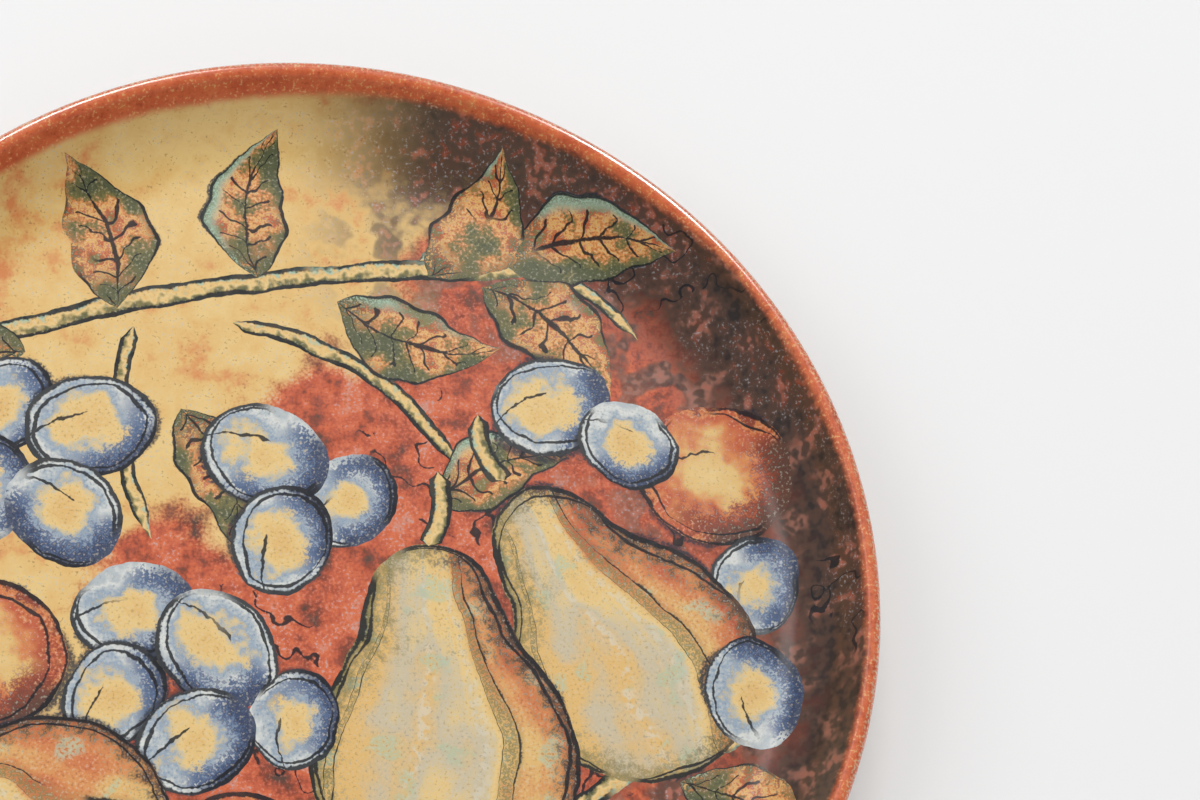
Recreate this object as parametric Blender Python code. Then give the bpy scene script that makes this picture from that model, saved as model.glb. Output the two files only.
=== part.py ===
"""Decorative plate: a glazed earthenware coupe plate with a painted face.

The plate is one turned body. It lies face up on its foot ring, with the
origin at the centre of the ring's underside and +Z up the axis.
Lengths are in metres.
"""

import math

import bmesh
import bpy

# Rim and wall
RIM_RADIUS = 0.125
RIM_HEIGHT = 0.026
LIP_THICKNESS = 0.0044
RIM_SLOPE = math.radians(62.0)
WALL_RUN = 0.024

# Well
WELL_RADIUS = RIM_RADIUS - WALL_RUN
FLOOR_THICKNESS = 0.0052
WELL_DISH = 0.0008

# Foot ring
FOOT_RADIUS = 0.072
FOOT_WIDTH = 0.0046
FOOT_HEIGHT = 0.0034
FOOT_EDGE = 0.0008
FOOT_DRAFT = 0.0011
RECESS_STEP = 0.0006

# Facets
TURN_STEPS = 96
WALL_STEPS = 9
LIP_STEPS = 8
WELL_STEPS = 4
MERGE_DISTANCE = 1e-6
SHARP_ANGLE = math.radians(35.0)

GLAZE_COLOUR = (0.56, 0.27, 0.13, 1.0)
GLAZE_ROUGHNESS = 0.18


def clear_scene():
    """Remove every object of the open scene."""
    for old in list(bpy.data.objects):
        bpy.data.objects.remove(old, do_unlink=True)


def glaze_material():
    """Glossy terracotta glaze."""
    material = bpy.data.materials.new("painted_glaze")
    material.use_nodes = True
    shader = material.node_tree.nodes["Principled BSDF"]
    shader.inputs["Base Color"].default_value = GLAZE_COLOUR
    shader.inputs["Roughness"].default_value = GLAZE_ROUGHNESS
    shader.inputs["Metallic"].default_value = 0.0
    return material


def well_height(radius):
    """Height of the upper face in the well, which dishes very slightly."""
    floor = FOOT_HEIGHT + FLOOR_THICKNESS
    return floor + WELL_DISH * (radius / WELL_RADIUS) ** 2


def wall_curve():
    """Upper face of the wall, from the well's edge out to the lip.

    The wall leaves the well along the well's own slope and steepens evenly
    until it stands at RIM_SLOPE where the lip begins.
    Returns a list of (radius, height, slope angle).
    """
    lip = LIP_THICKNESS / 2
    start_slope = math.atan(2 * WELL_DISH / WELL_RADIUS)
    start = (WELL_RADIUS, well_height(WELL_RADIUS))
    lip_centre = (RIM_RADIUS - lip, RIM_HEIGHT - lip)
    end = (
        lip_centre[0] - lip * math.sin(RIM_SLOPE),
        lip_centre[1] + lip * math.cos(RIM_SLOPE),
    )
    corner = tangent_corner(start, start_slope, end, RIM_SLOPE)
    points = []
    for step in range(WALL_STEPS + 1):
        share = step / WALL_STEPS
        points.append(bezier_point(start, corner, end, share))
    return points


def tangent_corner(start, start_slope, end, end_slope):
    """Point where the tangents at the two ends of the wall meet."""
    run = end[0] - start[0]
    rise = end[1] - start[1]
    along = (run * math.sin(end_slope) - rise * math.cos(end_slope)) / math.sin(
        end_slope - start_slope
    )
    return (
        start[0] + along * math.cos(start_slope),
        start[1] + along * math.sin(start_slope),
    )


def bezier_point(start, corner, end, share):
    """Point and slope at a share of the quadratic curve start-corner-end."""
    near = (1 - share) ** 2
    middle = 2 * share * (1 - share)
    far = share**2
    radius = near * start[0] + middle * corner[0] + far * end[0]
    height = near * start[1] + middle * corner[1] + far * end[1]
    run = (1 - share) * (corner[0] - start[0]) + share * (end[0] - corner[0])
    rise = (1 - share) * (corner[1] - start[1]) + share * (end[1] - corner[1])
    return radius, height, math.atan2(rise, run)


def lip_arc():
    """Half-round lip, from the wall's upper face over to its outer face."""
    lip = LIP_THICKNESS / 2
    centre = (RIM_RADIUS - lip, RIM_HEIGHT - lip)
    first = RIM_SLOPE + math.pi / 2
    points = []
    for step in range(1, LIP_STEPS):
        angle = first - math.pi * step / LIP_STEPS
        points.append((centre[0] + lip * math.cos(angle), centre[1] + lip * math.sin(angle)))
    return points


def outer_wall(wall):
    """Underside of the wall: the upper face set off by a wall thickness.

    The thickness grows from the lip's to the floor's on the way down.
    """
    points = []
    for index, (radius, height, slope) in enumerate(reversed(wall)):
        share = index / WALL_STEPS
        thickness = LIP_THICKNESS + (FLOOR_THICKNESS - LIP_THICKNESS) * share
        points.append((radius + thickness * math.sin(slope), height - thickness * math.cos(slope)))
    return points


def foot_ring():
    """Foot ring from its outer root to its inner root, with eased edges."""
    inner = FOOT_RADIUS - FOOT_WIDTH
    ceiling = FOOT_HEIGHT + RECESS_STEP
    return [
        (FOOT_RADIUS + FOOT_DRAFT, FOOT_HEIGHT),
        (FOOT_RADIUS, FOOT_EDGE),
        (FOOT_RADIUS - FOOT_EDGE, 0.0),
        (inner + FOOT_EDGE, 0.0),
        (inner, FOOT_EDGE),
        (inner - FOOT_DRAFT, ceiling),
    ]


def plate_profile():
    """Closed half section from the top centre round to the bottom centre."""
    face = []
    for step in range(WELL_STEPS):
        radius = WELL_RADIUS * step / WELL_STEPS
        face.append((radius, well_height(radius)))
    wall = wall_curve()
    face.extend((radius, height) for radius, height, _ in wall)
    back = outer_wall(wall)
    centre_below = (0.0, FOOT_HEIGHT + RECESS_STEP)
    return face + lip_arc() + back + foot_ring() + [centre_below]


def turned_body(name, profile, material):
    """Spin a half section about the Z axis into one closed body."""
    mesh = bpy.data.meshes.new(name)
    turned = bmesh.new()
    verts = [turned.verts.new((radius, 0.0, height)) for radius, height in profile]
    edges = [turned.edges.new(pair) for pair in zip(verts, verts[1:])]
    bmesh.ops.spin(
        turned,
        geom=verts + edges,
        cent=(0.0, 0.0, 0.0),
        axis=(0.0, 0.0, 1.0),
        angle=math.tau,
        steps=TURN_STEPS,
        use_merge=True,
    )
    bmesh.ops.remove_doubles(turned, verts=turned.verts, dist=MERGE_DISTANCE)
    bmesh.ops.recalc_face_normals(turned, faces=turned.faces)
    turned.to_mesh(mesh)
    turned.free()
    mesh.shade_smooth()
    mesh.set_sharp_from_angle(angle=SHARP_ANGLE)
    mesh.materials.append(material)
    body = bpy.data.objects.new(name, mesh)
    bpy.context.scene.collection.objects.link(body)
    return body


def main():
    """Build the plate."""
    clear_scene()
    turned_body("plate", plate_profile(), glaze_material())


main()
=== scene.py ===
"""Painted plate: the looks of a glazed earthenware coupe plate.

Geometry Nodes turn the plate from its half section. Its painting is laid out
as marks (fruit, pears, leaves, twigs), which shader node groups place one over
another on the developed face, and each kind of mark has a finish of its own.
Lengths are in metres, apart from the painting, which is in millimetres.
"""

import logging
import math
from dataclasses import dataclass, field
from enum import Enum

import bpy
import numpy as np
from mathutils import Matrix, Vector


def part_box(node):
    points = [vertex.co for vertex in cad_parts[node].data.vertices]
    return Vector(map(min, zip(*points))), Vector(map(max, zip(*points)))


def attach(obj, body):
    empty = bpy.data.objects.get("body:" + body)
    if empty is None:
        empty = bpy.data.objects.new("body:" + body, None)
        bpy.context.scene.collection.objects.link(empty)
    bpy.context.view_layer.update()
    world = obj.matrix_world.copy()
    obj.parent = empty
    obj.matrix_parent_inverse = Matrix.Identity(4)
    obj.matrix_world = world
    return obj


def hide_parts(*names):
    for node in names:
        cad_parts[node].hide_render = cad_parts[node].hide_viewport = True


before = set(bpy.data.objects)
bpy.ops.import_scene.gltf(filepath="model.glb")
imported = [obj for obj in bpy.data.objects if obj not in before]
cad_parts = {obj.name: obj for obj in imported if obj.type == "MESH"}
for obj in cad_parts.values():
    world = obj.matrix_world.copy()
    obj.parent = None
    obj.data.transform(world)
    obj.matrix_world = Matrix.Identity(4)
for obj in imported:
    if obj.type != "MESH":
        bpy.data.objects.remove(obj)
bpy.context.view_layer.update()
MM = 1000.0
LOG = logging.getLogger("plate")

Socket = bpy.types.NodeSocket
Feed = Socket | float | int | tuple
Colour = tuple[float, float, float, float]
Point2 = tuple[float, float]


def paint(red: int, green: int, blue: int) -> Colour:
    """Linear colour of a paint that is named by its screen values.

    Args:
        red: Red from 0 to 255.
        green: Green from 0 to 255.
        blue: Blue from 0 to 255.

    Returns:
        The linear colour with full alpha.
    """

    def linear(value: int) -> float:
        """Linear light of one screen value."""
        share = value / 255
        return share / 12.92 if share <= 0.04045 else ((share + 0.055) / 1.055) ** 2.4

    return linear(red), linear(green), linear(blue), 1.0


class Motif(Enum):
    """What a place on the painting belongs to."""

    GROUND = 0
    PLUM = 1
    QUINCE = 2
    PEAR = 3
    LEAF = 4
    TWIG = 5


@dataclass(frozen=True)
class Paints:
    """The painter's colours."""

    rim_red: Colour = paint(188, 84, 46)
    rim_orange: Colour = paint(206, 102, 58)
    ochre: Colour = paint(214, 174, 104)
    straw: Colour = paint(220, 188, 122)
    sand: Colour = paint(190, 178, 150)
    cream: Colour = paint(205, 198, 178)
    orange: Colour = paint(206, 128, 70)
    terracotta: Colour = paint(186, 82, 46)
    brick: Colour = paint(138, 60, 36)
    rose: Colour = paint(198, 132, 112)
    smoke: Colour = paint(84, 58, 46)
    umber: Colour = paint(74, 56, 47)
    charcoal: Colour = paint(40, 36, 35)
    pearl: Colour = paint(206, 208, 203)
    mist: Colour = paint(170, 178, 182)
    pale_blue: Colour = paint(138, 156, 174)
    blue: Colour = paint(80, 100, 134)
    navy: Colour = paint(34, 48, 82)
    olive: Colour = paint(122, 112, 62)
    moss: Colour = paint(84, 88, 58)
    mint: Colour = paint(158, 184, 160)
    ink: Colour = paint(22, 24, 30)
    dusk: Colour = paint(34, 38, 52)
    slip: Colour = paint(214, 203, 182)
    clay: Colour = paint(176, 122, 88)


PAINTS = Paints()


@dataclass(frozen=True)
class Glaze:
    """The clear glaze over the paint."""

    roughness: float = 0.28
    rough_grain: float = 0.42
    coat_roughness: float = 0.19
    coat_ior: float = 1.5
    clay_roughness: float = 0.85
    under_gloss: float = 0.2


class Sheet:
    """A node tree being drawn up, with short calls for the nodes it needs."""

    COLUMNS = 14

    def __init__(self, tree: bpy.types.NodeTree) -> None:
        """Start on a tree."""
        self.tree = tree

    def add(self, kind: str, **settings: object) -> bpy.types.Node:
        """Add a node.

        Args:
            kind: The node's type name.
            **settings: Properties to set on it.

        Returns:
            The new node.
        """
        place = len(self.tree.nodes)
        node = self.tree.nodes.new(kind)
        node.location = (200 * (place % self.COLUMNS), -220 * (place // self.COLUMNS))
        for name, value in settings.items():
            setattr(node, name, value)
        return node

    def feed(self, socket: Socket, source: Feed | None) -> None:
        """Link a socket to a source, or give it a plain value."""
        if isinstance(source, bpy.types.NodeSocket):
            self.tree.links.new(source, socket)
        elif source is not None:
            socket.default_value = source

    def number(self, operation: str, *values: Feed) -> Socket:
        """Result of a Math node.

        Args:
            operation: The node's operation.
            *values: Its inputs in order.

        Returns:
            The result's socket.
        """
        node = self.add("ShaderNodeMath", operation=operation)
        for socket, value in zip(node.inputs, values):
            self.feed(socket, value)
        return node.outputs[0]

    def vector(self, operation: str, *values: Feed, scale: Feed | None = None) -> Socket:
        """Result of a Vector Math node.

        Args:
            operation: The node's operation.
            *values: Its vector inputs in order.
            scale: The factor of a SCALE.

        Returns:
            The result's socket, a number for a length, distance or dot product.
        """
        node = self.add("ShaderNodeVectorMath", operation=operation)
        for socket, value in zip(node.inputs, values):
            self.feed(socket, value)
        if scale is not None:
            self.feed(node.inputs["Scale"], scale)
        is_number = operation in ("LENGTH", "DISTANCE", "DOT_PRODUCT")
        return node.outputs["Value" if is_number else "Vector"]

    def split(self, source: Feed) -> tuple[Socket, Socket]:
        """The first two numbers of a vector."""
        across = self.vector("DOT_PRODUCT", source, (1.0, 0.0, 0.0))
        return across, self.vector("DOT_PRODUCT", source, (0.0, 1.0, 0.0))

    def height(self, source: Feed) -> Socket:
        """The third number of a vector."""
        return self.vector("DOT_PRODUCT", source, (0.0, 0.0, 1.0))

    def parts(self, colour: Feed) -> tuple[Socket, Socket, Socket]:
        """The three numbers of a colour."""
        node = self.add("ShaderNodeSeparateColor")
        self.feed(node.inputs[0], colour)
        return node.outputs[0], node.outputs[1], node.outputs[2]

    def join(self, x: Feed, y: Feed, z: Feed = 0.0) -> Socket:
        """A vector made of three numbers."""
        node = self.add("ShaderNodeCombineXYZ")
        for socket, value in zip(node.inputs, (x, y, z)):
            self.feed(socket, value)
        return node.outputs[0]

    def span(self, value: Feed, low: Feed, high: Feed, start: Feed = 0.0, end: Feed = 1.0) -> Socket:
        """A smooth step.

        Args:
            value: What is measured.
            low: Where the step begins.
            high: Where it ends.
            start: The result before the step.
            end: The result after it.

        Returns:
            The result's socket.
        """
        node = self.add("ShaderNodeMapRange", interpolation_type="SMOOTHSTEP", clamp=False)
        for socket, part in zip(node.inputs, (value, low, high, start, end)):
            self.feed(socket, part)
        return node.outputs[0]

    def mix(self, kind: str, share: Feed, first: Feed, second: Feed) -> Socket:
        """Result of a Mix node.

        Args:
            kind: FLOAT, VECTOR or RGBA.
            share: The second source's share.
            first: The source below.
            second: The source above.

        Returns:
            The result's socket.
        """
        node = self.add("ShaderNodeMix", data_type=kind)
        place = {"FLOAT": 2, "VECTOR": 4, "RGBA": 6}[kind]
        self.feed(node.inputs[0], share)
        self.feed(node.inputs[place], first)
        self.feed(node.inputs[place + 1], second)
        return node.outputs[{"FLOAT": 0, "VECTOR": 1, "RGBA": 2}[kind]]

    def coat(self, share: Feed, below: Feed, colour: Feed) -> Socket:
        """A colour laid over another by a share."""
        return self.mix("RGBA", share, below, colour)

    def ramp(self, value: Feed, stops: tuple[tuple[float, Colour], ...]) -> Socket:
        """Colours along a value, from a list of places and colours."""
        node = self.add("ShaderNodeValToRGB")
        elements = node.color_ramp.elements
        elements[0].position, elements[0].color = stops[0]
        elements[-1].position, elements[-1].color = stops[-1]
        for position, colour in stops[1:-1]:
            elements.new(position).color = colour
        self.feed(node.inputs[0], value)
        return node.outputs[0]

    def noise(
        self,
        where: Feed,
        size: float,
        detail: float = 2.0,
        seed: int = 0,
        flat: bool = True,
    ) -> bpy.types.Node:
        """A Noise Texture.

        Args:
            where: The position it is read at.
            size: The size of its largest spots.
            detail: Its finer layers.
            seed: Shifts it, so that no two look alike.
            flat: Whether it is read on the flat painting or in space.

        Returns:
            The node, with its Fac and Color outputs.
        """
        shifted = self.vector("ADD", where, (seed * 37.1, seed * 51.7, seed * 23.3))
        node = self.add("ShaderNodeTexNoise", noise_dimensions="2D" if flat else "3D")
        self.feed(node.inputs["Vector"], shifted)
        self.feed(node.inputs["Scale"], 1.0 / size)
        self.feed(node.inputs["Detail"], detail)
        return node

    def streaks(self, place: Feed, detail: float) -> Socket:
        """A noise along one number."""
        node = self.add("ShaderNodeTexNoise", noise_dimensions="1D")
        self.feed(node.inputs["W"], place)
        self.feed(node.inputs["Scale"], 1.0)
        self.feed(node.inputs["Detail"], detail)
        return node.outputs["Fac"]

    def use(self, group: "Stencil", **feeds: Feed) -> bpy.types.Node:
        """Place a node group and feed its inputs by name."""
        node = self.add("ShaderNodeGroup", node_tree=group.tree)
        for name, value in feeds.items():
            self.feed(node.inputs[name.replace("_", " ")], value)
        return node


class Stencil(Sheet):
    """A shader node group with named inputs and outputs."""

    KINDS = {float: "NodeSocketFloat", tuple: "NodeSocketVector", "colour": "NodeSocketColor"}

    def __init__(self, name: str, takes: dict[str, float | tuple], gives: dict[str, object]) -> None:
        """Start a group.

        Args:
            name: The group's name.
            takes: Its inputs and their defaults; four numbers are a colour.
            gives: Its outputs and their kinds: float, tuple or "colour".
        """
        super().__init__(bpy.data.node_groups.new(name, "ShaderNodeTree"))
        for label, default in takes.items():
            kind = "colour" if isinstance(default, tuple) and len(default) == 4 else type(default)
            socket = self.tree.interface.new_socket(label, in_out="INPUT", socket_type=self.KINDS[kind])
            socket.default_value = default
        for label, kind in gives.items():
            self.tree.interface.new_socket(label, in_out="OUTPUT", socket_type=self.KINDS[kind])
        self.entry = self.add("NodeGroupInput")

    def __getitem__(self, name: str) -> Socket:
        """An input of the group, seen from inside."""
        return self.entry.outputs[name]

    def give(self, **results: Feed) -> "Stencil":
        """Connect the group's outputs by name and return the group."""
        leave = self.add("NodeGroupOutput")
        for name, value in results.items():
            self.feed(leave.inputs[name.replace("_", " ")], value)
        return self


@dataclass
class Hand:
    """The unsteady hand, the crayon and the pen, shared by every mark on the plate."""

    waver: Stencil = field(init=False)
    grain: Stencil = field(init=False)
    pen: Stencil = field(init=False)

    def __post_init__(self) -> None:
        """Draw up the groups."""
        self.waver = self.draw_waver()
        self.grain = self.draw_grain()
        self.pen = self.draw_pen()

    @staticmethod
    def draw_waver() -> Stencil:
        """Group that shifts a position a little, slowly and then finely."""
        group = Stencil(
            "hand waver",
            {"Position": (0.0, 0.0, 0.0), "Sway": 1.0, "Shake": 0.3},
            {"Position": tuple},
        )
        result = group["Position"]
        for size, amount, seed in ((12.0, "Sway", 1), (2.4, "Shake", 2)):
            spots = group.parts(group.noise(group["Position"], size, 1.0, seed).outputs["Color"])
            doubled = group.number("MULTIPLY", group[amount], 4.0)
            centred = [group.number("SUBTRACT", spot, 0.5) for spot in spots[:2]]
            shifts = [group.number("MULTIPLY", spot, doubled) for spot in centred]
            result = group.vector("ADD", result, group.join(*shifts))
        return group.give(Position=result)

    @staticmethod
    def draw_grain() -> Stencil:
        """Group that scatters grains of one colour over another, where a noise is high."""
        group = Stencil(
            "crayon grain",
            {
                "Colour": PAINTS.ochre,
                "Grain Colour": PAINTS.cream,
                "Grain": 0.5,
                "Low": 0.6,
                "High": 0.7,
                "Strength": 1.0,
            },
            {"Colour": "colour"},
        )
        cover = group.span(group["Grain"], group["Low"], group["High"], 0.0, group["Strength"])
        return group.give(Colour=group.coat(cover, group["Colour"], group["Grain Colour"]))

    @staticmethod
    def draw_pen() -> Stencil:
        """Group for a pen line that swells, thins and breaks; Away counts its half widths."""
        group = Stencil(
            "pen line",
            {
                "Colour": PAINTS.ochre,
                "Ink": PAINTS.ink,
                "Away": 9.0,
                "Swell": 0.5,
                "Gap": 0.5,
                "Grain": 0.5,
            },
            {"Colour": "colour"},
        )
        swell = group.span(group["Swell"], 0.32, 0.68, 0.55, 1.7)
        past = group.number("SUBTRACT", group["Away"], swell)
        past = group.number("MULTIPLY_ADD", group["Grain"], 1.6, group.number("SUBTRACT", past, 0.8))
        kept = group.span(group["Gap"], 0.32, 0.4, 0.0, 0.94)
        line = group.number("MULTIPLY", kept, group.span(past, -0.2, 0.7, 1.0, 0.0))
        return group.give(Colour=group.coat(line, group["Colour"], group["Ink"]))


@dataclass
class Placing:
    """Groups that lay one mark over what is already on the plate.

    A place carries two things. Local is where it lies on its mark, with the
    kind of mark as its third number. Gap is how near the marks above it are.
    """

    over: Stencil = field(init=False)
    round: Stencil = field(init=False)
    pear: Stencil = field(init=False)
    leaf: Stencil = field(init=False)

    FAR = 9.0
    LOBES = 24.0
    LOBE_DEPTH = 0.06
    LEAF_BASE = 5.5
    LEAF_TAPER = -3.4
    THINNEST = 0.00001
    CARRIED = {"Local": (FAR, FAR, 0.0), "Gap": FAR}
    CARRIED_OUT = {"Local": tuple, "Gap": float}
    TURNED = {
        "Position": (0.0, 0.0, 0.0),
        "Centre": (0.0, 0.0, 0.0),
        "Along": (1.0, 0.0, 0.0),
        "Across": (0.0, 1.0, 0.0),
    }

    def __post_init__(self) -> None:
        """Draw up the groups."""
        self.over = self.draw_over()
        self.round = self.draw_round()
        self.pear = self.draw_pear()
        self.leaf = self.draw_leaf()

    def draw_over(self) -> Stencil:
        """Group that lets a mark cover what lies within its outline, where Away is 1."""
        takes = {**self.CARRIED, "Mark": (0.0, 0.0, 0.0), "Away": 1.0}
        group = Stencil("lay over", takes, self.CARRIED_OUT)
        cover = group.number("LESS_THAN", group["Away"], 1.0)
        near = group.number("MINIMUM", group["Gap"], group["Away"])
        return group.give(
            Local=group.mix("VECTOR", cover, group["Local"], group["Mark"]),
            Gap=group.mix("FLOAT", cover, near, self.FAR),
        )

    def end(self, group: Stencil, mark: Socket, away: Socket) -> Stencil:
        """Lay the mark over and close its placing group."""
        laid = group.use(self.over, Local=group["Local"], Gap=group["Gap"], Mark=mark, Away=away)
        return group.give(**{name: laid.outputs[name] for name in self.CARRIED_OUT})

    def turned(self, group: Stencil) -> tuple[Socket, Socket]:
        """Where a place lies along and across a mark that is turned."""
        shift = group.vector("SUBTRACT", group["Position"], group["Centre"])
        along = group.vector("DOT_PRODUCT", shift, group["Along"])
        return along, group.vector("DOT_PRODUCT", shift, group["Across"])

    def draw_round(self) -> Stencil:
        """Group for a round or oval fruit of radius 1 about its Middle."""
        takes = {**self.TURNED, "Middle": (0.0, 0.0, 1.0), "Sort": 1.0}
        group = Stencil("place round fruit", {**self.CARRIED, **takes}, self.CARRIED_OUT)
        mark = group.join(*self.turned(group), group["Sort"])
        return self.end(group, mark, group.vector("DISTANCE", mark, group["Middle"]))

    def draw_pear(self) -> Stencil:
        """Group for a pear, whose belly has a radius of 1 and whose neck runs along +X."""
        group = Stencil("place pear", {**self.CARRIED, **self.TURNED}, self.CARRIED_OUT)
        mark = group.join(*self.turned(group), float(Motif.PEAR.value))
        return self.end(group, mark, group.number("MULTIPLY_ADD", pear_away(group, mark), 2.2, -1.2))

    def draw_leaf(self) -> Stencil:
        """Group for a leaf or a twig, which runs from 0 to 1 along X and bends as a bow."""
        takes = {**self.TURNED, "Bend": 0.0, "Sort": 1.0, "Widest": self.FAR}
        group = Stencil("place leaf", {**self.CARRIED, **takes}, self.CARRIED_OUT)
        along, across = self.turned(group)
        bow = group.number("MULTIPLY", along, group.number("SUBTRACT", 1.0, along))
        across = group.number("MULTIPLY_ADD", bow, group["Bend"], across)
        bulge = group.number("MAXIMUM", bow, self.THINNEST)
        taper = group.number("MULTIPLY_ADD", along, self.LEAF_TAPER, self.LEAF_BASE)
        width = group.number("MULTIPLY", bulge, taper)
        lobes = group.number("SINE", group.number("MULTIPLY", along, self.LOBES))
        width = group.number("MULTIPLY", width, group.number("MULTIPLY_ADD", lobes, self.LOBE_DEPTH, 1.0))
        share = group.number("DIVIDE", across, group.number("MINIMUM", width, group["Widest"]))
        away = group.number("MULTIPLY_ADD", group.number("ABSOLUTE", share), 1.8, -0.8)
        return self.end(group, group.join(along, share, group["Sort"]), away)


PEAR_NECK = 1.28
NECK_NARROWER = 0.57
NECK_BLEND = 1.1


def pear_away(group: Sheet, mark: Feed) -> Socket:
    """Distance from a pear's middle in belly radii, 1 on its outline."""
    kind = float(Motif.PEAR.value)
    belly = group.vector("DISTANCE", mark, (0.0, 0.0, kind))
    neck = group.number("ADD", group.vector("DISTANCE", mark, (PEAR_NECK, 0.0, kind)), NECK_NARROWER)
    return group.number("SMOOTH_MIN", belly, neck, NECK_BLEND)


@dataclass(frozen=True)
class Mark:
    """One mark of the painting, in millimetres from the plate's middle."""

    centre: Point2
    turn: float
    size: Point2
    motif: Motif
    bend: float = 0.0
    widest: float = Placing.FAR

    def lay(
        self,
        sheet: Sheet,
        placing: Placing,
        position: Socket,
        carried: dict[str, Feed],
    ) -> dict[str, Feed]:
        """Place the mark over what is carried.

        Args:
            sheet: The material's tree.
            placing: The placing groups.
            position: Where on the painting.
            carried: Local and Gap from the marks below.

        Returns:
            The same two with this mark on top.
        """
        kind = float(self.motif.value)
        turn = math.radians(self.turn)
        length, width = self.size
        x, y = self.centre
        turned = {
            "Centre": (x, y, 0.0),
            "Along": (math.cos(turn) / length, math.sin(turn) / length, 0.0),
            "Across": (-math.sin(turn) / width, math.cos(turn) / width, 0.0),
        }
        if self.motif in (Motif.PLUM, Motif.QUINCE):
            group, feeds = placing.round, {**turned, "Middle": (0.0, 0.0, kind), "Sort": kind}
        elif self.motif is Motif.PEAR:
            group, feeds = placing.pear, turned
        else:
            group, feeds = placing.leaf, {**turned, "Bend": self.bend, "Sort": kind, "Widest": self.widest}
        placed = sheet.use(group, **carried, **feeds, Position=position)
        return {name: placed.outputs[name] for name in Placing.CARRIED}

    def span(self) -> tuple[float, float, float]:
        """Middle and radius of a circle that holds the mark and its shade."""
        length, width = self.size
        turn = math.radians(self.turn)
        x, y = self.centre
        if self.motif in (Motif.PLUM, Motif.QUINCE):
            return x, y, 1.4 * max(length, width)
        if self.motif is Motif.PEAR:
            middle, reach = 0.4 * length, 1.9 * length
        else:
            middle, reach = length / 2, length / 2 + width * (1.4 + abs(self.bend) / 4)
        return x + middle * math.cos(turn), y + middle * math.sin(turn), reach


def plum(x: float, y: float, radius: float, turn: float = 0.0) -> Mark:
    """An oval blue plum, whose length is turned to an angle."""
    return Mark((x, y), turn, (radius * 1.1, radius * 0.92), Motif.PLUM)


def quince(x: float, y: float, radius: float) -> Mark:
    """A round orange fruit."""
    return Mark((x, y), 0.0, (radius, radius * 0.94), Motif.QUINCE)


def pear(x: float, y: float, radius: float, turn: float) -> Mark:
    """A pear with its belly at a place and its neck turned to an angle."""
    return Mark((x, y), turn, (radius, radius), Motif.PEAR)


def leaf(x: float, y: float, length: float, width: float, turn: float, curl: float = 0.6) -> Mark:
    """A leaf that grows from a place at an angle."""
    return Mark((x, y), turn, (length, width / 2), Motif.LEAF, -4 * curl)


def twig(x: float, y: float, length: float, width: float, turn: float, sag: float = 0.0) -> Mark:
    """A twig that grows from a place; its sag is how far it bows, in millimetres."""
    share = 0.3
    half = width / 2 / share
    return Mark((x, y), turn, (length, half), Motif.TWIG, -4 * sag / half, share)


def composition() -> list[Mark]:
    """The marks of the painting, from the lowest to the top one."""
    branches = [
        twig(-112, 40, 178, 5.2, 13, 12),
        twig(-20, 64, 64, 4.2, -34, 8),
        twig(-42, 62, 52, 3.8, -84, -5),
        twig(34, 84, 46, 3.6, -26, 6),
        twig(24, 82, 34, 3.4, 52, -4),
        twig(96, -34, 66, 4.4, 212, -8),
    ]
    leaves = [
        leaf(44, 82, 42, 23, 4, 0.5),
        leaf(26, 78, 38, 21, 62, -0.5),
        leaf(38, 76, 42, 22, -44, 0.5),
        leaf(4, 70, 40, 21, -14, -0.5),
        leaf(-14, 76, 38, 20, 84, 0.5),
        leaf(-46, 66, 40, 21, 112, -0.5),
        leaf(-66, 54, 38, 20, 158, 0.5),
        leaf(-88, 30, 36, 18, 204, -0.5),
        leaf(80, -44, 36, 18, -34, 0.5),
        leaf(-70, -64, 38, 19, 222, 0.5),
        leaf(4, -90, 34, 17, -16, -0.5),
    ]
    right = [
        quince(92, 30, 18.5),
        plum(100, 3, 11.2, 70),
        leaf(27, 20, 34, 18, 24, 0.5),
        pear(72, -16, 28, 124),
        plum(98, -23, 12.2, 100),
        twig(43, 27, 17, 5.0, 112, 2),
        plum(54, 46, 13.2, 20),
        plum(72, 37, 11.2, -30),
        pear(28, -40, 30, 94),
        twig(25, 11, 18, 5.0, 84, -2),
    ]
    left = [
        quince(-74, -18, 19.5),
        plum(-70, 41, 11.2, 60),
        plum(-74, 21, 12.2, 85),
        plum(-51, 37, 13.4, 15),
        plum(-56, 16, 12.8, -40),
        leaf(-31, 42, 36, 19, -70, 0.5),
        plum(7, 21, 11.2, 40),
        plum(-12, 31, 13.4, -20),
        plum(-8, 11, 12.2, 75),
        plum(-40, -7, 12.6, 10),
        plum(-44, -26, 11.4, 60),
        plum(-22, -15, 13.6, -50),
        plum(-5, -31, 10.6, 80),
        plum(-26, -36, 12.4, 30),
    ]
    low = [
        pear(-56, -56, 25, 164),
        quince(-16, -66, 20),
        plum(-42, -86, 11.8, 10),
        plum(-18, -94, 12, 60),
        plum(38, -84, 11.6, -20),
        plum(16, -78, 12.2, 40),
        plum(60, -60, 12.2, 20),
        plum(-94, -10, 10.8, 90),
    ]
    return branches + leaves + right + left + low


TEXTURES = {"Grain": 0.5, "Fleck": 0.5, "Blot": 0.5, "Wash": 0.5}
PAINTED = {"Colour": "colour", "Away": float}


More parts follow.
